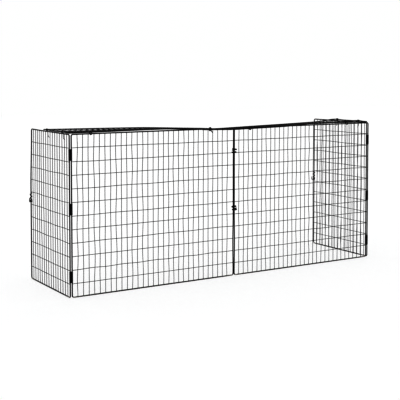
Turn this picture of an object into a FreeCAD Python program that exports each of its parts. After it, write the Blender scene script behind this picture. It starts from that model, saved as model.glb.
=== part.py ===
"""Folding wire-mesh guard with an open back and an open base, in millimetres.

Two front panels meet at a centre seam. A side panel swings on each outer corner,
and a sagging wire lid lies over each half. X runs along the width, the front faces
-Y, Z is up, and the origin is the centre of the bounding box on the floor.
"""
import FreeCAD
import Part
import math
import os
from FreeCAD import Vector

# Stock
rod_radius = 2.25            # bent rod round the edge of every panel
wire_radius = 1.0            # mesh wire
corner_bend = 8.0            # centre-line radius of a frame corner

# Mesh
column_pitch = 24.75
wide_column = 32.5           # the odd column where a front panel's mesh ends
row_pitch = 54.5
front_columns = 31
side_columns = 17
side_depth = 412.0           # between the rod centres of a side panel
lid_columns = 31
rows = 12
wire_crossing = 2.05         # distance between the two layers of crossing wires
butt_gap = 0.02              # a wire stops this far short of the rod it is welded to

# Layout of the panels
seam_half_gap = 3.0          # from the seam plane to each seam rod's centre
hinge_spacing = 8.5          # from a front panel's end rod to the side panel's rod
fold_offset = 4.0            # the seam turns about a line this far in front of the rods

# Lids
lid_rows = 5
lid_depth = 262.0            # between the rod centres of a lid
lid_behind_rail = 5.0        # a lid's front rod lies this far behind the front rail
lid_outer_rise = 7.0         # a lid's outer rod above the side rail
lid_wire_crossing = 2.1
# Bends of each lid on the way to the seam, as a share of its width from the outer rod,
# with the heights of its front and back rods above the front rail there
left_lid_bends = ((0.62, 7.6, -2.5), (0.88, -3.5, -11.5), (1.0, -6.5, -15.5))
right_lid_bends = ((0.14, 6.5, -4.0), (0.42, 7.2, -11.0), (0.64, -2.0, -15.0), (1.0, -6.5, -22.0))

# Hinge sleeves
sleeve_length = 46.0
sleeve_wall = 0.9
sleeve_clamp = 0.03          # clearance on the front panel's rod
sleeve_running = 0.06        # clearance on the side panel's rod
left_sleeve_rows = {"top": 2, "middle": 6, "bottom": 11}
right_sleeve_rows = {"top": 2, "middle": 7, "bottom": 11}

# Rings
seam_ring_wire = 1.3
seam_ring_bore = 7.4
seam_ring_drops = {"upper": 100.0, "lower": 354.0}
lid_ring_wire = 0.95
lid_ring_bore = 6.7
lid_ring_clearance = 0.1
left_ring_places = {"outer": 86.6, "inner": 655.9}   # from the end rod, clear of the wires
right_ring_places = {"outer": 124.8, "inner": 688.6}

# Hooks on the outer rods of the lids
lid_hook_wire = 1.1
lid_hook_wrap = 310.0        # how far the eye goes round the rod, degrees
lid_hook_clearance = 0.05
lid_hook_length = 24.0
lid_hook_toe = 9.0
lid_hook_toe_angle = 35.0
lid_hook_bend = 4.0
lid_hook_places = {"front": 66.0, "back": 225.0}

# Hooks that hold the back rods to a wall
wall_hook_wire = 1.5
wall_hook_clearance = 0.06
wall_hook_eyes = (9.0, 24.0, 39.0)   # heights of the eyes above the hook's arm
wall_hook_stem = 42.0
wall_hook_stem_offset = 0.7
wall_hook_reach = 18.0
wall_hook_tip_rise = 16.0
wall_hook_bend = 5.0

# Worked out from the above
front_width = (front_columns - 1) * column_pitch + wide_column
frame_height = rows * row_pitch
bottom_z = rod_radius
top_z = bottom_z + frame_height
seam_ring_radius = seam_ring_bore + seam_ring_wire
front_reach = fold_offset + seam_ring_radius + seam_ring_wire
back_reach = side_depth + wall_hook_reach + wall_hook_wire
front_y = (front_reach - back_reach) / 2
back_y = front_y + side_depth
end_x = seam_half_gap + front_width
side_x = end_x + hinge_spacing
wall_hook_z = bottom_z + 6 * row_pitch + 7.0

out_dir = "parts"


def straight(start, end, radius):
    """A round bar between two points."""
    return Part.makeCylinder(radius, (end - start).Length, start, end - start)


def bend_points(before, corner, after, bend):
    """Where a bend of the given radius leaves the two runs that meet at corner."""
    inward = (corner - before).normalize()
    outward = (after - corner).normalize()
    tangent = bend * math.tan(inward.getAngle(outward) / 2)
    return corner - inward * tangent, corner + outward * tangent


def bend_solid(before, corner, after, bend, radius):
    """A quarter-ring of bar that joins the two runs that meet at corner."""
    inward = (corner - before).normalize()
    outward = (after - corner).normalize()
    start, _ = bend_points(before, corner, after, bend)
    axis = inward.cross(outward).normalize()
    centre = start + axis.cross(inward) * bend
    section = Part.Face(Part.Wire(Part.Circle(start, inward, radius).toShape()))
    return section.revolve(centre, axis, math.degrees(inward.getAngle(outward)))


def bent_bar(points, bend, radius, closed=False):
    """One solid bar through the points, rounded where it turns."""
    count = len(points)
    corners = range(count) if closed else range(1, count - 1)
    starts = dict(enumerate(points))
    ends = dict(enumerate(points))
    pieces = []
    for i in corners:
        before, corner, after = points[i - 1], points[i], points[(i + 1) % count]
        ends[i], starts[i] = bend_points(before, corner, after, bend)
        pieces.append(bend_solid(before, corner, after, bend, radius))
    for i in range(count if closed else count - 1):
        pieces.append(straight(starts[i], ends[(i + 1) % count], radius))
    return pieces[0].fuse(pieces[1:]).removeSplitter()


def upright_frame(near, far):
    """A panel's edge rod: a rounded rectangle that stands on the floor."""
    corners = [
        Vector(near.x, near.y, bottom_z),
        Vector(far.x, far.y, bottom_z),
        Vector(far.x, far.y, top_z),
        Vector(near.x, near.y, top_z),
    ]
    return bent_bar(corners, corner_bend, rod_radius, closed=True)


def upright_wires(near, far, columns, pitch):
    """The wires between the top and bottom rods; the column at the far end takes what is left."""
    wires = []
    for i in range(1, columns):
        foot = near + (far - near).normalize() * (i * pitch)
        low = Vector(foot.x, foot.y, bottom_z + rod_radius + butt_gap)
        high = Vector(foot.x, foot.y, top_z - rod_radius - butt_gap)
        wires.append(straight(low, high, wire_radius))
    return wires


def cross_wires(near, far, offset):
    """The level wires, on the face of the uprights that offset points to."""
    along = (far - near).normalize()
    trim = along * (rod_radius + butt_gap)
    wires = []
    for i in range(1, rows):
        lift = Vector(0, 0, bottom_z + i * row_pitch)
        wires.append(straight(near + trim + offset + lift, far - trim + offset + lift, wire_radius))
    return wires


def lid_point(side, u, v):
    """A point of a lid's bent surface: u from outer to inner rod, v from front to back."""
    front, back = lid_outer_rise, lid_outer_rise
    last = 0.0
    for place, front_there, back_there in left_lid_bends if side < 0 else right_lid_bends:
        share = min(max((u - last) / (place - last), 0.0), 1.0)
        front += (front_there - front) * share
        back += (back_there - back) * share
        last = place
    x = side * (side_x * (1 - u) + seam_half_gap * u)
    return Vector(x, front_y + lid_behind_rail + lid_depth * v, top_z + front * (1 - v) + back * v)


def lid_line(side, v):
    """The points where a line along the width of a lid starts, bends and ends."""
    bends = left_lid_bends if side < 0 else right_lid_bends
    return [lid_point(side, u, v) for u in (0.0, *[bend[0] for bend in bends])]


def lid_frame(side):
    corners = lid_line(side, 0) + lid_line(side, 1)[::-1]
    return bent_bar(corners, corner_bend, rod_radius, closed=True)


def lid_wire(points):
    """A wire through the points, stopping short of the rods at both ends."""
    first = (points[1] - points[0]).normalize() * (rod_radius + butt_gap)
    last = (points[-1] - points[-2]).normalize() * (rod_radius + butt_gap)
    return bent_bar([points[0] + first, *points[1:-1], points[-1] - last], corner_bend, wire_radius)


def lid_depth_wires(side):
    """Wires from the front rod to the back rod of a lid."""
    places = [i / lid_columns for i in range(1, lid_columns)]
    return [lid_wire([lid_point(side, u, 0), lid_point(side, u, 1)]) for u in places]


def lid_cross_wires(side):
    """Wires along the width, under the depth wires."""
    drop = Vector(0, 0, -lid_wire_crossing)
    places = [i / lid_rows for i in range(1, lid_rows)]
    return [lid_wire([point + drop for point in lid_line(side, v)]) for v in places]


def hinge_sleeve(side, row):
    """A strip of sheet wrapped round both rods and pinched flat between them."""
    base = Vector(0, front_y, top_z - (row - 0.5) * row_pitch - sleeve_length / 2)
    front_rod = base + Vector(side * end_x, 0, 0)
    side_rod = base + Vector(side * side_x, 0, 0)
    up = Vector(0, 0, 1)
    outer = rod_radius + sleeve_running + sleeve_wall
    shell = Part.makeCylinder(outer, sleeve_length, front_rod, up)
    shell = shell.fuse(Part.makeCylinder(outer, sleeve_length, side_rod, up))
    low_x = min(front_rod.x, side_rod.x)
    web_corner = Vector(low_x, front_y - sleeve_wall, base.z)
    shell = shell.fuse(Part.makeBox(hinge_spacing, 2 * sleeve_wall, sleeve_length, web_corner))
    bores = [
        Part.makeCylinder(rod_radius + sleeve_clamp, sleeve_length, front_rod, up),
        Part.makeCylinder(rod_radius + sleeve_running, sleeve_length, side_rod, up),
    ]
    return shell.cut(bores).removeSplitter()


def seam_ring(drop):
    """A ring round both seam rods, centred on the line that the seam folds about."""
    centre = Vector(0, front_y - fold_offset, top_z - drop)
    return Part.makeTorus(seam_ring_radius, seam_ring_wire, centre, Vector(0, 0, 1))


def lid_ring(side, from_end):
    """A ring round the front rail and a lid's front rod, snug on the front rail."""
    x = end_x - from_end
    u = (side_x - x) / (side_x - seam_half_gap)
    rail = Vector(side * x, front_y, top_z)
    rod = lid_point(side, u, 0)
    shift = lid_ring_bore - rod_radius - lid_ring_clearance
    centre = rail + (rod - rail).normalize() * shift
    return Part.makeTorus(lid_ring_bore + lid_ring_wire, lid_ring_wire, centre, Vector(1, 0, 0))


def lid_hook(side, place):
    """An open eye round a lid's outer rod, with a shank that drops inside the side rail."""
    rod = Vector(side * side_x, front_y + place, top_z + lid_outer_rise)
    eye_radius = rod_radius + lid_hook_clearance + lid_hook_wire
    inboard = Vector(-side, 0, 0)
    down = Vector(0, 0, -1)
    start = rod + inboard * eye_radius
    knee = start + down * lid_hook_length
    lean = math.radians(lid_hook_toe_angle)
    toe = knee + (down * math.cos(lean) + inboard * math.sin(lean)) * lid_hook_toe
    section = Part.Face(Part.Wire(Part.Circle(start, down, lid_hook_wire).toShape()))
    eye = section.revolve(rod, Vector(0, side, 0), lid_hook_wrap)
    shank = bent_bar([start, knee, toe], lid_hook_bend, lid_hook_wire)
    return eye.fuse(shank).removeSplitter()


def wall_hook(side):
    """Three eyes on a back rod, welded to one bent wire that ends in an open hook."""
    rod = Vector(side * side_x, back_y, wall_hook_z)
    eye_radius = rod_radius + wall_hook_clearance + wall_hook_wire
    up = Vector(0, 0, 1)
    back = Vector(0, 1, 0)
    foot = rod + back * (eye_radius + wall_hook_stem_offset)
    knee = rod + back * wall_hook_reach
    tip = knee + up * wall_hook_tip_rise
    solid = bent_bar([tip, knee, foot, foot + up * wall_hook_stem], wall_hook_bend, wall_hook_wire)
    for lift in wall_hook_eyes:
        solid = solid.fuse(Part.makeTorus(eye_radius, wall_hook_wire, rod + up * lift, up))
    return solid.removeSplitter()


def half(name, side, sleeve_rows, ring_places):
    """Every node of one half of the guard; side is -1 for left and 1 for right.

    The right front panel is the left one turned upside down, so the odd column is
    beside the seam on the left half and beside the outer corner on the right half.
    """
    seam = Vector(side * seam_half_gap, front_y, 0)
    end = Vector(side * end_x, front_y, 0)
    hinge = Vector(side * side_x, front_y, 0)
    back = Vector(side * side_x, back_y, 0)
    near, far = (end, seam) if side < 0 else (seam, end)
    side_pitch = side_depth / side_columns
    behind = Vector(0, wire_crossing, 0)
    outboard = Vector(side * wire_crossing, 0, 0)
    nodes = {
        "front_frame": [upright_frame(seam, end)],
        "front_upright_wires": upright_wires(near, far, front_columns, column_pitch),
        "front_cross_wires": cross_wires(seam, end, behind),
        "side_frame": [upright_frame(hinge, back)],
        "side_upright_wires": upright_wires(hinge, back, side_columns, side_pitch),
        "side_cross_wires": cross_wires(hinge, back, outboard),
        "lid_frame": [lid_frame(side)],
        "lid_depth_wires": lid_depth_wires(side),
        "lid_cross_wires": lid_cross_wires(side),
        "wall_hook": [wall_hook(side)],
    }
    for place, row in sleeve_rows.items():
        nodes["hinge_sleeve_" + place] = [hinge_sleeve(side, row)]
    for place, from_end in ring_places.items():
        nodes["lid_ring_" + place] = [lid_ring(side, from_end)]
    for place, distance in lid_hook_places.items():
        nodes["lid_hook_" + place] = [lid_hook(side, distance)]
    return {name + "_" + node: solids for node, solids in nodes.items()}


def main():
    nodes = half("left", -1, left_sleeve_rows, left_ring_places)
    nodes.update(half("right", 1, right_sleeve_rows, right_ring_places))
    for place, drop in seam_ring_drops.items():
        nodes["seam_ring_" + place] = [seam_ring(drop)]
    os.makedirs(out_dir, exist_ok=True)
    for node, solids in nodes.items():
        shape = solids[0] if len(solids) == 1 else Part.makeCompound(solids)
        shape.exportStep(os.path.join(out_dir, node + ".step"))
    print(len(nodes), "nodes")


main()
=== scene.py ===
import math
import random

import bmesh
import bpy
import numpy as np
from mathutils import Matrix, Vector


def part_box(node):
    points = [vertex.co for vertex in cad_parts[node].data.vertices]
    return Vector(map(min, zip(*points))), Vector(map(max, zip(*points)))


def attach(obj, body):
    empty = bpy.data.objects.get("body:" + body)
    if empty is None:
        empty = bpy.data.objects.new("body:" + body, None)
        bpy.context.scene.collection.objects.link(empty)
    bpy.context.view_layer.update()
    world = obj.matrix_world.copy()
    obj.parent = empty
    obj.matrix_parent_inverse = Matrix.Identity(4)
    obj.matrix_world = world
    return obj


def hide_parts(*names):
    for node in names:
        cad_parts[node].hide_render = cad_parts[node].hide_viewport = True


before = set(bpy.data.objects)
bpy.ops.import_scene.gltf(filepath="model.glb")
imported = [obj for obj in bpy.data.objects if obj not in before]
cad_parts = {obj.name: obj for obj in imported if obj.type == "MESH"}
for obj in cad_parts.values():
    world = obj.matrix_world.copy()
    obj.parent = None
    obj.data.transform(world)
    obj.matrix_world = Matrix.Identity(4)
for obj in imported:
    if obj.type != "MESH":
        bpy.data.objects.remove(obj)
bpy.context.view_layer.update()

random.seed(11)

MM = 0.001

# Sections, in sides round the bar
ROD_SIDES = 16
WIRE_SIDES = 10
COIL_SIDES = 14

# Steps along a bar
ROD_STEP = 14 * MM
WIRE_STEP = 17 * MM
CORNER_BEND = 8 * MM
CORNER_STEPS = 8

# How far the real panels are from flat
PANEL_BULGE = 1.3 * MM
HINGE_STRAIGHT = 70 * MM     # no warp this close to a hinge rod
RIPPLES = {                  # height of a panel's fine ripple, and its wave lengths both ways
    "front": (0.22 * MM, 0.41, 0.57),
    "side": (0.25 * MM, 0.29, 0.47),
    "lid": (0.5 * MM, 0.33, 0.21),
}
SIDE_LEAN = 5.0 * MM         # the left side panel's top back corner is bent this far inward
LEAN_START = 270 * MM        # the bend starts this far back
LEAN_RISE = 0.6              # and at this share of the height

# How far single wires are from straight
UPRIGHT_WAVE = 2.2 * MM      # of the most crooked uprights; most are far straighter
CROSS_WAVE = 1.1 * MM        # and of the cross wires
WAVE_LENGTHS = (140 * MM, 320 * MM)
WIRE_SHIFT = 0.6 * MM
WIRE_LEAN = 1.3 * MM         # how far aside a wire has drifted at either end
END_HOLD = 0.35              # the share of all this that is left at a welded end
HOLD_REACH = 70 * MM         # and how far in it grows to the whole

# The two rods at the seam
SEAM_REACH = 90 * MM         # the panels bend this near the seam
SEAM_CLOSE = 0.6 * MM        # the rods lean together
SEAM_SPREAD = 1.5 * MM       # but bow apart by this much below the lower clip
SEAM_BOW = (150 * MM, 85 * MM)         # height and reach of that bow
SEAM_STAGGER = 1.6 * MM      # the left rod's top stands this far forward
STAGGER_START = 0.75         # from this share of the height up

# Welds
CROSS_WELD = (1.32 * MM, 1.45 * MM)    # half width and half depth of a crossing weld
END_WELD = 1.62              # how much an end flares, times the wire radius
END_WELD_LENGTH = 1.6 * MM
ROD_BEAD = 0.32 * MM         # flash weld where the ends of an edge rod meet
ROD_BEAD_HALF = 2.2 * MM     # half its length
ROD_BEAD_PLACE = 0.37        # and its place, as a share of the panel's width

# Lids
LID_CROSSING = 2.1 * MM      # from the depth wires down to the cross wires
LID_EASE = 0.035             # how widely a bend of a lid is eased, as a share of its width
LID_SAG = 2.0 * MM           # the mesh hangs below its rods
LID_SETTLE = 1.8 * MM        # the outer half sinks on to the rails between the hooks' eyes
EYE_REACH = (9 * MM, 40 * MM)          # the rod is held up this near an eye, and sunk this far off

# Hinge sleeves
SHEET = 0.9 * MM
SLEEVE_RUNNING = 0.06 * MM
SHEET_EDGE = 0.28 * MM       # rounding of the sheet's cut edges
CRIMP = 0.3 * MM             # depth of the two crimps across the pinch
CRIMP_HALF = 2.2 * MM        # half the height of a crimp
CRIMP_PLACES = (0.28, 0.72)  # as shares of the sleeve's height
PINCH_HALF = 1.6 * MM        # half the width of the pinch between the rods

# Wire of the clips, rings and hooks, as radii, and how it is wound
SEAM_CLIP_WIRE = 1.25 * MM
CLIP_SLIP = 0.35 * MM        # the clips hang this far to the left
CLIP_STRETCH = 1.10          # and are this much wider than they are deep
CLIP_TURNS = (0, 1.7, 2.5, 4.2)
CLIP_RISE = (-9.2 * MM, -5.0 * MM, 5.0 * MM, 9.2 * MM)     # of each of those turns
LID_RING_WIRE = 0.92 * MM
RING_INSET = 0.12 * MM       # how much smaller than the CAD ring
RING_TURNS = 2.4
RING_PITCH = 2.3 * MM
TAIL = 13 * MM               # length of the left inner ring's twisted ends
TAIL_WAY = (0.66, 0.06, -0.74)
TAIL_TWIST = 7 * MM          # along one turn of the twist
LID_HOOK_WIRE = 1.1 * MM
EYE_RUNNING = 0.05 * MM
EYE_TURNS = 3.2
EYE_PITCH = 2.35 * MM
WALL_HOOK_WIRE = 1.5 * MM
WALL_RUNNING = 0.06 * MM

# Studio
KEY_LIGHT = 0.36
RIM_LIGHT = 0.12
FLOOR_GLOW = 0.75            # share of the floor's white that no shadow dims
CONTRAST_GAMMA = 0.46        # below 1 deepens the thin wires against the white floor


# ---------------------------------------------------------------- reading the frame

def wires_of(node):
    """Centre lines, as pairs of end points, of the separate straight wires in a CAD node."""
    mesh = bmesh.new()
    mesh.from_mesh(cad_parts[node].data)
    bmesh.ops.remove_doubles(mesh, verts=mesh.verts, dist=0.01 * MM)
    seen = set()
    lines = []
    for first in mesh.verts:
        if first in seen:
            continue
        island = [first]
        seen.add(first)
        for vert in island:
            for edge in vert.link_edges:
                other = edge.other_vert(vert)
                if other not in seen:
                    seen.add(other)
                    island.append(other)
        points = np.array([v.co for v in island])
        axis = int(np.argmax(np.ptp(points, axis=0)))
        middle = (points[:, axis].min() + points[:, axis].max()) / 2
        low = points[points[:, axis] < middle].mean(axis=0)
        high = points[points[:, axis] >= middle].mean(axis=0)
        lines.append((low, high))
    mesh.free()
    return lines


def middle_of(node):
    low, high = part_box(node)
    return np.array((low + high) / 2)


# ---------------------------------------------------------------- mesh building

class Build:
    """Gathers bars and beads into one mesh, with a wear value at each vertex."""

    def __init__(self):
        self.verts = []
        self.wear = []
        self.faces = []
        self.count = 0

    def add(self, verts, faces, wear=0.0):
        self.faces.extend([tuple(i + self.count for i in face) for face in faces])
        self.verts.append(verts)
        self.wear.append(np.broadcast_to(np.asarray(wear, float), (len(verts),)))
        self.count += len(verts)

    def finish(self, name, body, node, material, floor=None):
        """Makes the object, puts it on its CAD body and hides the node it stands for."""
        verts = np.concatenate(self.verts)
        if floor is not None:
            verts[:, 2] = np.maximum(verts[:, 2], floor)
        mesh = bpy.data.meshes.new(name)
        mesh.from_pydata(verts.tolist(), [], self.faces)
        mesh.polygons.foreach_set("use_smooth", [True] * len(mesh.polygons))
        mesh.set_sharp_from_angle(angle=math.radians(50))
        attribute = mesh.attributes.new("wear", "FLOAT", "POINT")
        attribute.data.foreach_set("value", np.concatenate(self.wear).astype(np.float32))
        mesh.materials.append(material)
        mesh.update()
        piece = bpy.data.objects.new(name, mesh)
        bpy.context.scene.collection.objects.link(piece)
        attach(piece, body)
        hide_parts(node)
        return piece


def unit(vector):
    return vector / np.linalg.norm(vector)


def tube(build, path, radii, sides, closed=False, wear=0.0):
    """A round bar along a path, with its own radius and wear at each point of the path."""
    path = np.asarray(path, float)
    count = len(path)
    radii = np.broadcast_to(np.asarray(radii, float), (count,))
    wear = np.broadcast_to(np.asarray(wear, float), (count,))
    if closed:
        tangents = np.roll(path, -1, axis=0) - np.roll(path, 1, axis=0)
    else:
        tangents = np.gradient(path, axis=0)
    tangents /= np.linalg.norm(tangents, axis=1)[:, None]
    aside = np.array((0.0, 0.0, 1.0)) if abs(tangents[0][2]) < 0.8 else np.array((0.0, 1.0, 0.0))
    across = np.empty_like(path)
    for i in range(count):
        aside = unit(aside - tangents[i] * (aside @ tangents[i]))
        across[i] = aside
    other = np.cross(tangents, across)
    angles = np.arange(sides) * (2 * math.pi / sides)
    ring = across[:, None, :] * np.cos(angles)[None, :, None]
    ring = ring + other[:, None, :] * np.sin(angles)[None, :, None]
    verts = (path[:, None, :] + ring * radii[:, None, None]).reshape(-1, 3)
    faces = []
    for i in range(count if closed else count - 1):
        here, there = i * sides, ((i + 1) % count) * sides
        for k in range(sides):
            after = (k + 1) % sides
            faces.append((here + k, here + after, there + after, there + k))
    if not closed:
        faces.append(tuple(range(sides - 1, -1, -1)))
        last = (count - 1) * sides
        faces.append(tuple(range(last, last + sides)))
    build.add(verts, faces, np.repeat(wear, sides))


def dome(path, radius):
    """Rounds both free ends of a bent wire: returns the longer path and its radii."""
    path = np.asarray(path, float)
    start = unit(path[0] - path[1])
    end = unit(path[-1] - path[-2])
    steps = (0.35, 0.7, 0.92)
    heads = [path[0] + start * radius * s for s in reversed(steps)]
    tails = [path[-1] + end * radius * s for s in steps]
    shrink = [radius * math.sqrt(1 - s * s) for s in steps]
    radii = shrink[::-1] + [radius] * len(path) + shrink
    return np.array(heads + list(path) + tails), np.array(radii)


def smooth(path, rounds=2):
    """Cuts the corners of an open path, its end points staying where they are."""
    for _ in range(rounds):
        cut = [path[0]]
        for a, b in zip(path[:-1], path[1:]):
            cut.append(a * 0.75 + b * 0.25)
            cut.append(a * 0.25 + b * 0.75)
        cut.append(path[-1])
        path = cut
    return path


def ball():
    mesh = bmesh.new()
    bmesh.ops.create_icosphere(mesh, subdivisions=2, radius=1.0)
    verts = np.array([v.co for v in mesh.verts])
    faces = [tuple(v.index for v in f.verts) for f in mesh.faces]
    mesh.free()
    return verts, faces


BALL = ball()


def ease(x):
    x = np.clip(x, 0.0, 1.0)
    return x * x * (3 - 2 * x)


# ---------------------------------------------------------------- materials

def nodes_for(material):
    material.use_nodes = True
    tree = material.node_tree
    tree.nodes.clear()

    def node(kind, inputs=(), **settings):
        made = tree.nodes.new(kind)
        for key, value in settings.items():
            setattr(made, key, value)
        for key, value in dict(inputs).items():
            socket = made.inputs[key]
            if isinstance(value, bpy.types.NodeSocket):
                tree.links.new(value, socket)
            else:
                socket.default_value = value
        return made

    return node


def coated_steel(name, tone, gloss, peel, rub):
    """Black powder coat: orange-peel bump, uneven gloss, faint dust, and bare steel where rubbed.

    tone is the coat's brightness, gloss its roughness, peel the height of the bump and
    rub how readily the coat has gone where the mesh says that it wears.
    """
    material = bpy.data.materials.new(name)
    node = nodes_for(material)
    place = node("ShaderNodeTexCoord").outputs["Object"]
    fine = node("ShaderNodeTexNoise", {"Vector": place, "Scale": 1500.0, "Detail": 3.0})
    broad = node("ShaderNodeTexNoise", {
        "Vector": place, "Scale": 55.0, "Detail": 6.0, "Roughness": 0.62,
    })
    chips = node("ShaderNodeTexNoise", {
        "Vector": place, "Scale": 620.0, "Detail": 5.0, "Roughness": 0.7,
    })

    coat = node("ShaderNodeMix", {
        "Factor": broad.outputs["Fac"],
        "A": (tone * 0.75, tone * 0.75, tone * 0.80, 1),
        "B": (tone * 1.30, tone * 1.30, tone * 1.38, 1),
    }, data_type="RGBA")
    facing = node("ShaderNodeNewGeometry")
    up = node("ShaderNodeSeparateXYZ", {"Vector": facing.outputs["Normal"]})
    lying = node("ShaderNodeMapRange", {
        "Value": up.outputs["Z"], "From Min": 0.35, "From Max": 1.0, "To Min": 0.0, "To Max": 0.10,
    })
    dust_amount = node("ShaderNodeMath", {
        0: lying.outputs[0], 1: broad.outputs["Fac"],
    }, operation="MULTIPLY")
    dusty = node("ShaderNodeMix", {
        "Factor": dust_amount.outputs[0],
        "A": coat.outputs["Result"],
        "B": (0.16, 0.155, 0.145, 1),
    }, data_type="RGBA")
    rough = node("ShaderNodeMapRange", {
        "Value": broad.outputs["Fac"], "From Min": 0.3, "From Max": 0.7,
        "To Min": gloss - 0.07, "To Max": gloss + 0.10,
    })
    bump = node("ShaderNodeBump", {
        "Height": fine.outputs["Fac"], "Strength": 0.55, "Distance": peel,
    })
    paint = node("ShaderNodeBsdfPrincipled", {
        "Base Color": dusty.outputs["Result"],
        "Roughness": rough.outputs[0],
        "Specular IOR Level": 0.34,
        "Normal": bump.outputs[0],
    })
    scratch = node("ShaderNodeBump", {
        "Height": chips.outputs["Fac"], "Strength": 0.35, "Distance": peel * 1.5,
    })
    steel = node("ShaderNodeBsdfPrincipled", {
        "Base Color": (0.36, 0.345, 0.33, 1),
        "Metallic": 1.0,
        "Roughness": 0.38,
        "Normal": scratch.outputs[0],
    })
    worn = node("ShaderNodeAttribute", attribute_name="wear")
    pressed = node("ShaderNodeMath", {0: worn.outputs["Fac"], 1: rub}, operation="MULTIPLY")
    reach = node("ShaderNodeMath", {0: pressed.outputs[0], 1: chips.outputs["Fac"]}, operation="ADD")
    bare = node("ShaderNodeMapRange", {
        "Value": reach.outputs[0], "From Min": 0.98, "From Max": 1.06,
    })
    mixed = node("ShaderNodeMixShader", {0: bare.outputs[0], 1: paint.outputs[0], 2: steel.outputs[0]})
    node("ShaderNodeOutputMaterial", {"Surface": mixed.outputs[0]})
    return material


rod_coat = coated_steel("rod_powder_coat", 0.006, 0.42, 0.06 * MM, 0.72)
wire_coat = coated_steel("wire_powder_coat", 0.010, 0.47, 0.05 * MM, 0.70)
sheet_coat = coated_steel("sleeve_powder_coat", 0.005, 0.45, 0.05 * MM, 0.74)
ring_paint = coated_steel("ring_black_paint", 0.006, 0.36, 0.03 * MM, 0.80)
hook_paint = coated_steel("hook_black_paint", 0.006, 0.37, 0.03 * MM, 0.86)


# ---------------------------------------------------------------- welded panels

class Panel:
    """One welded panel, in its own plane: u across, w along its uprights, h off its face.

    place(u, w, h) turns panel coordinates, with the panel's small warp, into points.
    """

    def __init__(self, width, height, rod, place, ups, levels, crossing):
        self.width = width
        self.height = height
        self.rod = rod
        self.place = place
        self.ups = ups
        self.levels = levels
        self.crossing = crossing
        self.up_waves = [wave(UPRIGHT_WAVE, height) for _ in ups]
        self.level_waves = [wave(CROSS_WAVE, width) for _ in levels]


def wave(most, whole):
    """One wire's own shift and waviness along its whole length, smaller at its welded ends."""
    shift = random.uniform(-WIRE_SHIFT, WIRE_SHIFT)
    size = random.uniform(0.2, 1.0) ** 2 * most
    length = random.uniform(*WAVE_LENGTHS)
    phase = random.uniform(0, 2 * math.pi)
    lean = random.uniform(-WIRE_LEAN, WIRE_LEAN)

    def sway(t):
        loose = END_HOLD + (1 - END_HOLD) * ease(np.minimum(t, whole - t) / HOLD_REACH)
        curve = size * np.sin(2 * math.pi * t / length + phase)
        return loose * (shift + lean * (2 * t / whole - 1) + curve)

    return sway


def runs(length, reach):
    """Distances along a wire of that length, closer together at its welded ends."""
    ends = np.array((0.0, 0.6, 1.3, 2.3, 4.4, 9.0)) * MM + reach
    inner = np.linspace(18 * MM, length - 18 * MM, max(3, int(length / WIRE_STEP)))
    return np.concatenate([ends, inner, (length - ends)[::-1]])


def flared(distance, radius):
    """A wire's radius near the rod that it is welded to, distance being from the rod's surface."""
    share = np.clip(1 - distance / END_WELD_LENGTH, 0, 1)
    return radius * (1 + (END_WELD - 1) * share ** 2)


def edge_rod(build, panel, low_wear):
    """The edge rod, bent from one bar whose ends meet in a flash weld on the lowest run."""
    width, height, bend = panel.width, panel.height, CORNER_BEND
    far, top = width - bend, height - bend
    centres = ((bend, bend), (far, bend), (far, top), (bend, top))
    arcs = []
    for i, (u, w) in enumerate(centres):
        turn = math.pi * (1 + i / 2) + np.linspace(0, math.pi / 2, CORNER_STEPS + 1)
        arcs.append(np.stack([u + bend * np.cos(turn), w + bend * np.sin(turn)], axis=1))
    points = []
    for arc, following in zip(arcs, arcs[1:] + arcs[:1]):
        steps = max(2, int(math.dist(arc[-1], following[0]) / ROD_STEP))
        shares = np.linspace(0, 1, steps + 1)[1:-1, None]
        points.append(arc)
        points.append(arc[-1] * (1 - shares) + following[0] * shares)
    points = np.concatenate(points)
    u, w = points[:, 0], points[:, 1]
    corner = np.hypot(np.minimum(u, width - u), np.minimum(w, height - w))
    wear = 0.30 * np.exp(-corner / (25 * MM)) + low_wear * (w < 2 * MM) + 0.12
    tube(build, panel.place(u, w, np.zeros(len(u))), panel.rod, ROD_SIDES, closed=True, wear=wear)
    steps = np.linspace(-1, 1, 9)
    bead_u = width * ROD_BEAD_PLACE + steps * ROD_BEAD_HALF
    swell = np.cos(steps * math.pi / 2)
    bead = panel.place(bead_u, np.zeros(9), np.zeros(9))
    tube(build, bead, panel.rod - 0.1 * MM + (ROD_BEAD + 0.1 * MM) * swell, ROD_SIDES, wear=0.3)


def uprights(build, panel, radius):
    """The wires in the plane of the edge rod, butt-welded to it at both ends."""
    reach = panel.rod - 0.7 * MM
    w = runs(panel.height, reach)
    surface = np.minimum(w, panel.height - w) - panel.rod
    for u, sway in zip(panel.ups, panel.up_waves):
        path = panel.place(u + sway(w), w, np.zeros(len(w)))
        tube(build, path, flared(surface, radius), WIRE_SIDES, wear=0.12)


def levels(build, panel, radius):
    """The wires on one face of the uprights; each end steps in to meet the edge rod."""
    reach = panel.rod - 0.55 * MM
    u = runs(panel.width, reach)
    edge = np.minimum(u, panel.width - u)
    off = panel.crossing * (0.5 + 0.5 * ease((edge - 3 * MM) / (8 * MM)))
    for w, sway in zip(panel.levels, panel.level_waves):
        path = panel.place(u, w + sway(u), off)
        tube(build, path, flared(edge - panel.rod, radius), WIRE_SIDES, wear=0.16)


def crossing_welds(build, panel, out):
    """A small squashed bead where each pair of wires crosses; out is the axis off the face."""
    verts, faces = BALL
    across, deep = CROSS_WELD
    for w, level in zip(panel.levels, panel.level_waves):
        for u, up in zip(panel.ups, panel.up_waves):
            size = random.uniform(0.88, 1.10)
            scale = np.full(3, across * size)
            scale[out] = deep * size
            middle = panel.place(
                np.array([u + up(w)]), np.array([w + level(u)]), np.array([panel.crossing / 2])
            )
            build.add(verts * scale + middle, faces, 0.2)


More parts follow.
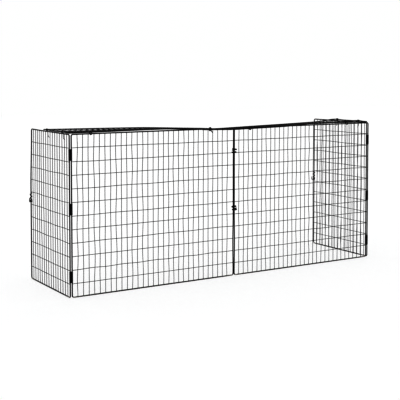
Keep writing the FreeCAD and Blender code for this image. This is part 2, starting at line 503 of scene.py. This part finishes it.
def make_panel(name, body, panel, out, floor, low_wear, wire, node_names):
    """The three pieces of a welded panel: its edge rod and the wires of each direction."""
    frame_node, up_node, level_node = node_names
    build = Build()
    edge_rod(build, panel, low_wear)
    build.finish(name + "_edge_rod", body, frame_node, rod_coat, floor)
    build = Build()
    uprights(build, panel, wire)
    build.finish(name + "_inner_wires", body, up_node, wire_coat)
    build = Build()
    levels(build, panel, wire)
    crossing_welds(build, panel, out)
    build.finish(name + "_outer_wires", body, level_node, wire_coat)


def thin(node, axis):
    """Half a node's size along one axis, which is the radius of a flat frame's rod."""
    low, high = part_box(node)
    return (high[axis] - low[axis]) / 2


def cushion(u, width, w, height):
    """Nought along a panel's edges and one in its middle."""
    return np.sin(math.pi * np.clip(u / width, 0, 1)) * np.sin(math.pi * np.clip(w / height, 0, 1))


def front_panel(name, side):
    node = name + "_front_frame"
    low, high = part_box(node)
    rod = thin(node, 1)
    end_x = max(abs(low.x), abs(high.x)) - rod
    seam_x = min(abs(low.x), abs(high.x)) + rod
    front_y = (low.y + high.y) / 2
    foot = low.z + rod
    width, height = end_x - seam_x, high.z - low.z - 2 * rod
    swell = random.uniform(0, 1)
    fine, across, up = RIPPLES["front"]
    bow_height, bow_reach = SEAM_BOW

    def place(u, w, h):
        free = ease(u / HINGE_STRAIGHT)
        bulge = cushion(u, width, w, height)
        ripple = np.sin(2 * math.pi * (u / (across + 0.05 * swell) + w / up + swell))
        near_seam = ease((u - (width - SEAM_REACH)) / SEAM_REACH)
        u = u + near_seam * (SEAM_CLOSE - SEAM_SPREAD * np.exp(-((w - bow_height) / bow_reach) ** 2))
        high_up = ease((w - STAGGER_START * height) / ((1 - STAGGER_START) * height))
        forward = near_seam * SEAM_STAGGER * high_up * (side < 0)
        h = h + free * (PANEL_BULGE * bulge + fine * ripple * (0.3 + 0.7 * bulge)) - forward
        return np.stack([side * (end_x - u), front_y + h, foot + w + 0 * u], axis=1)

    ups = sorted(end_x - abs(a[0] + b[0]) / 2 for a, b in wires_of(name + "_front_upright_wires"))
    cross = wires_of(name + "_front_cross_wires")
    crossing = abs(cross[0][0][1] - front_y)
    levels_at = sorted((a[2] + b[2]) / 2 - foot for a, b in cross)
    return Panel(width, height, rod, place, ups, levels_at, crossing)


def side_panel(name, side):
    node = name + "_side_frame"
    low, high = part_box(node)
    rod = thin(node, 0)
    side_x = abs(low.x + high.x) / 2
    front_y = low.y + rod
    foot = low.z + rod
    depth, height = high.y - low.y - 2 * rod, high.z - low.z - 2 * rod
    swell = random.uniform(0, 1)
    fine, across, up = RIPPLES["side"]

    def place(u, w, h):
        free = ease(u / HINGE_STRAIGHT)
        bulge = cushion(u, depth, w, height)
        ripple = np.sin(2 * math.pi * (u / across + w / up + swell))
        far_back = ease((u - LEAN_START) / (depth - LEAN_START))
        lean = far_back * ease((w / height - LEAN_RISE) / (1 - LEAN_RISE)) * (side < 0)
        h = h + free * (0.8 * PANEL_BULGE * bulge + fine * ripple * bulge) - SIDE_LEAN * lean
        return np.stack([side * (side_x + h), front_y + u, foot + w + 0 * u], axis=1)

    ups = sorted((a[1] + b[1]) / 2 - front_y for a, b in wires_of(name + "_side_upright_wires"))
    cross = wires_of(name + "_side_cross_wires")
    crossing = abs(abs(cross[0][0][0]) - side_x)
    levels_at = sorted((a[2] + b[2]) / 2 - foot for a, b in cross)
    return Panel(depth, height, rod, place, ups, levels_at, crossing)


def lid_panel(name, side):
    node = name + "_lid_frame"
    low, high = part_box(node)
    rod = thin(name + "_front_frame", 1)
    outer_x = max(abs(low.x), abs(high.x)) - rod
    inner_x = min(abs(low.x), abs(high.x)) + rod
    front_y = low.y + rod
    width, depth = outer_x - inner_x, high.y - low.y - 2 * rod
    swell = random.uniform(0, 1)
    fine, across, up = RIPPLES["lid"]

    lines = sorted(wires_of(name + "_lid_depth_wires"), key=lambda line: -abs(line[0][0]))
    ups = [outer_x - abs(a[0] + b[0]) / 2 for a, b in lines]
    slopes = [(b[2] - a[2]) / (b[1] - a[1]) for a, b in lines]
    fronts = [a[2] - slope * (a[1] - front_y) for (a, _), slope in zip(lines, slopes)]
    backs = [front + depth * slope for front, slope in zip(fronts, slopes)]
    heights = [carried(ups, values) for values in (fronts, backs)]
    eyes = [eye_place(name, end) - front_y for end in ("front", "back")]
    straight, sunk = EYE_REACH

    def unloaded(u, w):
        """The lid's height with its bends eased, before any sag."""
        back = w / depth
        reach = LID_EASE * width
        total = 0
        for shift, share in ((-reach, 0.25), (0, 0.5), (reach, 0.25)):
            front_z, back_z = (np.interp(u + shift, *table) for table in heights)
            total = total + share * (front_z * (1 - back) + back_z * back)
        return total

    def place(u, w, h):
        ripple = fine * np.sin(2 * math.pi * (u / across + w / up + swell))
        sag = cushion(u, width, w, depth) * (ripple - LID_SAG)
        from_eye = np.minimum(*(np.abs(w - eye) for eye in eyes))
        settled = (1 - ease(u / (0.5 * width))) * ease((from_eye - straight) / (sunk - straight))
        z = unloaded(u, w) + sag - LID_SETTLE * settled - h
        return np.stack([side * (outer_x - u), front_y + w + 0 * u, z], axis=1)

    cross = wires_of(name + "_lid_cross_wires")
    levels_at = sorted((a[1] + b[1]) / 2 - front_y for a, b in cross)
    return Panel(width, depth, rod, place, ups, levels_at, LID_CROSSING)


def eye_place(name, place):
    """How far back the middle of a lid hook's eye is."""
    return middle_of(name + "_lid_hook_" + place)[1] + EYE_TURNS * EYE_PITCH / 2


def carried(places, values):
    """A table for interpolation, carried on in a straight line well past both ends."""
    first = (values[1] - values[0]) / (places[1] - places[0])
    last = (values[-1] - values[-2]) / (places[-1] - places[-2])
    far = 100 * MM
    return (
        [places[0] - far, *places, places[-1] + far],
        [values[0] - far * first, *values, values[-1] + far * last],
    )


# ---------------------------------------------------------------- hinge sleeves

def sleeve_line(radius, spacing, half):
    """The middle of the sheet, seen from above: round both rods and pinched between them.

    The first rod is at the origin and the other a spacing along the first coordinate.
    The sheet's ends overlap at the pinch.
    """
    far = np.radians(np.linspace(-152, 152, 21))
    near = np.radians(np.linspace(28, 332, 21))
    line = [(spacing * 0.40, -half), (spacing * 0.55, -half)]
    line += [(spacing + radius * math.cos(a), radius * math.sin(a)) for a in far]
    line += [(spacing * 0.62, half), (spacing * 0.5, half), (spacing * 0.38, half)]
    line += [(radius * math.cos(a), radius * math.sin(a)) for a in near]
    line += [(spacing * share, -3.05 * half) for share in (0.36, 0.50, 0.66)]
    return np.array(smooth([np.array(p) for p in line], 1))


def sheet_section(low, high):
    """Offsets through the sheet and heights, once round the sheet's cut, with rounded edges."""
    half, edge = SHEET / 2, SHEET_EDGE
    turn = np.linspace(0, math.pi / 2, 4)
    levels_up = np.linspace(low + edge, high - edge, 18)[1:-1]
    section = [(half, z) for z in levels_up]
    section += [(half - edge + edge * math.cos(a), high - edge + edge * math.sin(a)) for a in turn]
    section += [(edge - half - edge * math.sin(a), high - edge + edge * math.cos(a)) for a in turn]
    section += [(-half, z) for z in levels_up[::-1]]
    section += [(edge - half - edge * math.cos(a), low + edge - edge * math.sin(a)) for a in turn]
    section += [(half - edge + edge * math.sin(a), low + edge - edge * math.cos(a)) for a in turn]
    return np.array(section)


def hinge_sleeve(name, side, place, end_x, side_x, front_y, rod):
    """A strip of sheet wrapped round both rods, with two crimps across the pinch."""
    node = name + "_hinge_sleeve_" + place
    low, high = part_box(node)
    spacing = side_x - end_x
    line = sleeve_line(rod + SLEEVE_RUNNING + SHEET / 2, spacing, SHEET / 2)
    tangent = np.gradient(line, axis=0)
    tangent /= np.linalg.norm(tangent, axis=1)[:, None]
    outward = np.stack([tangent[:, 1], -tangent[:, 0]], axis=1)
    section = sheet_section(low.z, high.z)
    tall = high.z - low.z
    verts, wear = [], []
    for point, normal in zip(line, outward):
        web = math.exp(-((point[0] - spacing / 2) / PINCH_HALF) ** 2)
        for off, z in section:
            off_crimps = [(z - low.z - tall * share) / CRIMP_HALF for share in CRIMP_PLACES]
            crimps = sum(math.exp(-distance ** 2) for distance in off_crimps)
            at = point + normal * (off - CRIMP * web * crimps * (off > 0))
            verts.append((side * (end_x + at[0]), front_y + at[1], z))
            ends = min(z - low.z, high.z - z)
            wear.append(0.12 + 0.42 * math.exp(-ends / (1.2 * MM)) + 0.10 * web)
    count, ring = len(line), len(section)
    faces = []
    for i in range(count - 1):
        for k in range(ring):
            after = (k + 1) % ring
            face = (i * ring + k, i * ring + after, (i + 1) * ring + after, (i + 1) * ring + k)
            faces.append(face if side > 0 else face[::-1])
    caps = [tuple(range(ring)), tuple(range((count - 1) * ring, count * ring))]
    faces.append(caps[0][::-1] if side > 0 else caps[0])
    faces.append(caps[1] if side > 0 else caps[1][::-1])
    build = Build()
    build.add(np.array(verts), faces, np.array(wear))
    build.finish(node + "_sheet", name + "_front", node, sheet_coat)


# ---------------------------------------------------------------- clips and hooks

def winding(middle, axis, start, radius, turns, rise, begin):
    """A helix about an axis through middle, start being the direction at angle nought.

    turns and rise give how far round and how far along the axis each point of it is.
    """
    axis = unit(np.array(axis, float))
    first = np.array(start, float)
    first = unit(first - axis * (first @ axis))
    second = np.cross(axis, first)
    angle = begin + 2 * math.pi * turns
    return (
        np.array(middle)
        + radius * (np.cos(angle)[:, None] * first + np.sin(angle)[:, None] * second)
        + rise[:, None] * axis
    )


def rounded(values):
    """The same values with their sharp changes eased."""
    return np.convolve(np.pad(values, 4, "edge"), np.ones(9) / 9, "valid")


def tip_wear(count, along, tips):
    """Wear along a wire of that many points: one value along it and another at both tips."""
    wear = np.full(count, along)
    wear[:5] = wear[-5:] = tips
    return wear


def seam_clip(place, lean, begin):
    """A wire wound round both seam rods in two close coils, which hang a little askew."""
    node = "seam_ring_" + place
    low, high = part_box(node)
    radius = (high.x - low.x) / 2 - SEAM_CLIP_WIRE
    axis = (math.sin(lean), 0, math.cos(lean))
    turns = np.linspace(0, CLIP_TURNS[-1], 126)
    rise = rounded(np.interp(turns, CLIP_TURNS, CLIP_RISE))
    middle = middle_of(node) - np.array((CLIP_SLIP, 0, 0))
    path = winding(middle, axis, (1, 0, 0), radius, turns, rise, begin)
    path[:, 0] = middle[0] + CLIP_STRETCH * (path[:, 0] - middle[0])
    path, radii = dome(path, SEAM_CLIP_WIRE)
    build = Build()
    tube(build, path, radii, COIL_SIDES, wear=tip_wear(len(path), 0.28, 0.75))
    build.finish("seam_clip_" + place, "left_front", node, ring_paint)


def rod_height(panel, level, x):
    """The height of one of a panel's long rods, the one at that level, where it passes x."""
    first, last = panel.place(np.array((0.0, panel.width)), np.full(2, level), np.zeros(2))
    along = panel.width * (x - first[0]) / (last[0] - first[0])
    return panel.place(np.full(1, along), np.full(1, level), np.zeros(1))[0][2]


def twisted_tail(build, root, away):
    """Two wire ends twisted together, from a root outward, with bare tips."""
    aside = unit(np.cross(away, (0.0, 1.0, 0.0)))
    other = np.cross(away, aside)
    steps = np.linspace(0, TAIL, 16)
    for turn in (0.0, math.pi):
        swirl = turn + 2 * math.pi * steps / TAIL_TWIST
        twist = root + steps[:, None] * away + LID_RING_WIRE * (
            np.cos(swirl)[:, None] * aside + np.sin(swirl)[:, None] * other
        )
        twist, thick = dome(twist, LID_RING_WIRE)
        wear = 0.25 + 0.75 * ease((np.arange(len(twist)) - 13) / 6)
        tube(build, twist, thick, COIL_SIDES, wear=wear)


def lid_ring(name, place, front, lid, begin, tailed):
    """A coil of over two turns round the front rail and the lid's front rod.

    It hangs midway between their heights.
    """
    node = name + "_lid_ring_" + place
    middle = middle_of(node)
    middle[2] = (rod_height(front, front.height, middle[0]) + rod_height(lid, 0.0, middle[0])) / 2
    low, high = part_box(node)
    radius = (high.z - low.z) / 2 - LID_RING_WIRE - RING_INSET
    turns = np.linspace(0, RING_TURNS, 72)
    rise = (turns - RING_TURNS / 2) * RING_PITCH
    path = winding(middle, (1, 0.03, -0.05), (0, 0, -1), radius, turns, rise, begin)
    build = Build()
    if tailed:
        away = unit(np.array(TAIL_WAY))
        twisted_tail(build, middle + away * (radius + LID_RING_WIRE), away)
    path, radii = dome(path, LID_RING_WIRE)
    tube(build, path, radii, COIL_SIDES, wear=tip_wear(len(path), 0.25, 0.8))
    build.finish(node + "_wire", name + "_lid", node, ring_paint)


def lid_hook(name, side, place, rod_x, rod_z, rod):
    """A wire wound three times round the lid's outer rod, then dropping to a bent toe."""
    node = name + "_lid_hook_" + place
    low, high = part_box(node)
    y = (low.y + high.y) / 2
    radius = rod + EYE_RUNNING + LID_HOOK_WIRE
    angles = np.linspace(2 * math.pi * EYE_TURNS, 0, 92)
    eye = [
        np.array((side * (rod_x - radius * math.cos(a)), y + EYE_PITCH * a / (2 * math.pi),
                  rod_z + radius * math.sin(a)))
        for a in angles
    ]
    start = eye[-1]
    inboard, drop = np.array((-side, 0.0, 0.0)), np.array((0.0, 0.0, -1.0))
    knee = start + drop * (rod_z - low.z - 7.4 * MM)
    toe = knee + (drop * 0.82 + inboard * 0.57) * 7.6 * MM
    lip = toe + (drop * 0.35 + inboard * 0.94) * 1.6 * MM
    shank = [start + drop * 1.5 * MM, start + drop * 9 * MM, start + drop * 17 * MM]
    bends = smooth([*shank, knee, toe, lip], 3)
    path, radii = dome(np.array(eye + bends), LID_HOOK_WIRE)
    along = np.arange(len(path))
    wear = 0.25 + 0.32 * ease((along - len(path) + 14) / 10)
    build = Build()
    tube(build, path, radii, COIL_SIDES, wear=wear)
    build.finish(node + "_wire", node, node, hook_paint)


def wall_hook(name, side, rod_x, back_y, rod):
    """A wire wound unevenly up the back rod; its lower end runs out and turns up as a hook."""
    node = name + "_wall_hook"
    low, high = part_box(node)
    radius = rod + WALL_RUNNING + WALL_HOOK_WIRE
    tip_y = high.y - WALL_HOOK_WIRE
    arm_z = low.z + WALL_HOOK_WIRE
    # Turns of the coil, and the wire's height above the arm at each, in millimetres
    climb = ((0.0, 3.4), (1.0, 7.0), (2.0, 11.5), (3.0, 25.0), (4.0, 40.5), (4.35, 42.2))
    turns = np.linspace(0, climb[-1][0], 132)
    lift = rounded(np.interp(turns, *zip(*climb)) * MM)
    angle = side * 2 * math.pi * turns
    coil = [
        np.array((side * rod_x + radius * math.cos(a), back_y + radius * math.sin(a), arm_z + z))
        for a, z in zip(angle, lift)
    ]
    foot = coil[0]
    out = [
        np.array((side * rod_x, tip_y, arm_z + 15.5 * MM)),
        np.array((side * rod_x, tip_y, arm_z + 6 * MM)),
        np.array((side * rod_x, tip_y - 0.2 * MM, arm_z)),
        np.array((side * rod_x + 0.8 * MM, back_y + 10 * MM, arm_z)),
        np.array((foot[0], back_y - 4 * MM, arm_z + 1.2 * MM)) * 0.5 + foot * 0.5,
    ]
    path, radii = dome(np.array(smooth(out, 3)[:-1] + coil), WALL_HOOK_WIRE)
    wear = 0.25 + 0.75 * ease((12 - np.arange(len(path))) / 10)
    build = Build()
    tube(build, path, radii, COIL_SIDES, wear=wear)
    build.finish(node + "_wire", node, node, hook_paint)


# ---------------------------------------------------------------- the guard

def half(name, side):
    """All the pieces of the left (-1) or right (1) half."""
    wire = thin(name + "_front_cross_wires", 1)
    front, flank, lid = front_panel(name, side), side_panel(name, side), lid_panel(name, side)
    make_panel(name + "_front", name + "_front", front, 1, 0.0, 0.5, wire, (
        name + "_front_frame", name + "_front_upright_wires", name + "_front_cross_wires"))
    make_panel(name + "_side", name + "_side", flank, 0, 0.0, 0.5, wire, (
        name + "_side_frame", name + "_side_upright_wires", name + "_side_cross_wires"))
    make_panel(name + "_lid", name + "_lid", lid, 2, None, 0.1, wire, (
        name + "_lid_frame", name + "_lid_depth_wires", name + "_lid_cross_wires"))
    origin = np.zeros(1)
    end_x, front_y, _ = front.place(origin, origin, origin)[0]
    side_x = abs(flank.place(origin, origin, origin)[0][0])
    back_y = flank.place(origin + flank.width, origin, origin)[0][1]
    for place in ("top", "middle", "bottom"):
        hinge_sleeve(name, side, place, abs(end_x), side_x, front_y, front.rod)
    for place in ("outer", "inner"):
        tailed = (name, place) == ("left", "inner")
        lid_ring(name, place, front, lid, random.uniform(0, 2 * math.pi), tailed)
    for place in ("front", "back"):
        reach = eye_place(name, place) - front_y
        outer_z = lid.place(origin, origin + reach, origin)[0][2]
        lid_hook(name, side, place, side_x, outer_z, lid.rod)
    wall_hook(name, side, side_x, back_y, flank.rod)


half("left", -1)
half("right", 1)
seam_clip("upper", math.radians(9), 0.94)
seam_clip("lower", math.radians(-13), 4.4)


# ---------------------------------------------------------------- studio and camera

def white_floor():
    size = 14.0
    mesh = bpy.data.meshes.new("floor")
    corners = [(-size, -size, 0), (size, -size, 0), (size, size, 0), (-size, size, 0)]
    mesh.from_pydata(corners, [], [(0, 1, 2, 3)])
    floor = bpy.data.objects.new("floor", mesh)
    floor.location.z = -0.4 * MM
    bpy.context.scene.collection.objects.link(floor)
    material = bpy.data.materials.new("pale_floor")
    node = nodes_for(material)
    paint = node("ShaderNodeBsdfPrincipled", {
        "Base Color": (0.95, 0.95, 0.957, 1), "Roughness": 0.9, "Specular IOR Level": 0.1,
    })
    lit = node("ShaderNodeEmission", {"Color": (1, 1, 1, 1), "Strength": 1.0})
    sheet = node("ShaderNodeMixShader", {0: FLOOR_GLOW, 1: paint.outputs[0], 2: lit.outputs[0]})
    node("ShaderNodeOutputMaterial", {"Surface": sheet.outputs[0]})
    mesh.materials.append(material)


def sun(name, towards, strength, spread):
    """A wide, soft light from one side; the same everywhere, so the floor stays even."""
    lamp = bpy.data.lights.new(name, "SUN")
    lamp.energy = strength
    lamp.angle = math.radians(spread)
    light = bpy.data.objects.new(name, lamp)
    light.rotation_euler = Vector(towards).to_track_quat("-Z", "Y").to_euler()
    bpy.context.scene.collection.objects.link(light)


def studio():
    world = bpy.data.worlds.new("white_room")
    world.use_nodes = True
    background = world.node_tree.nodes["Background"]
    background.inputs["Color"].default_value = (1, 1, 1, 1)
    background.inputs["Strength"].default_value = 1.0
    scene = bpy.context.scene
    scene.world = world
    sun("key", (0.55, 0.62, -0.70), KEY_LIGHT, 30)
    sun("rim", (-0.70, -0.45, -0.55), RIM_LIGHT, 40)
    scene.view_settings.view_transform = "Standard"
    scene.view_settings.look = "None"
    scene.view_settings.exposure = 0.0
    scene.view_settings.gamma = CONTRAST_GAMMA


def camera():
    """A long lens from the front left, slightly above the guard and looking down a little."""
    lens = bpy.data.cameras.new("camera")
    lens.sensor_width = 36.0
    lens.lens = 82.87
    lens.shift_y = -0.202
    lens.clip_end = 100
    eye = bpy.data.objects.new("camera", lens)
    eye.location = (-2.2693, -3.5727, 0.9078)
    eye.rotation_euler = (math.radians(90 - 3.0), 0, math.radians(-31.894))
    bpy.context.scene.collection.objects.link(eye)
    bpy.context.scene.camera = eye


white_floor()
studio()
camera()
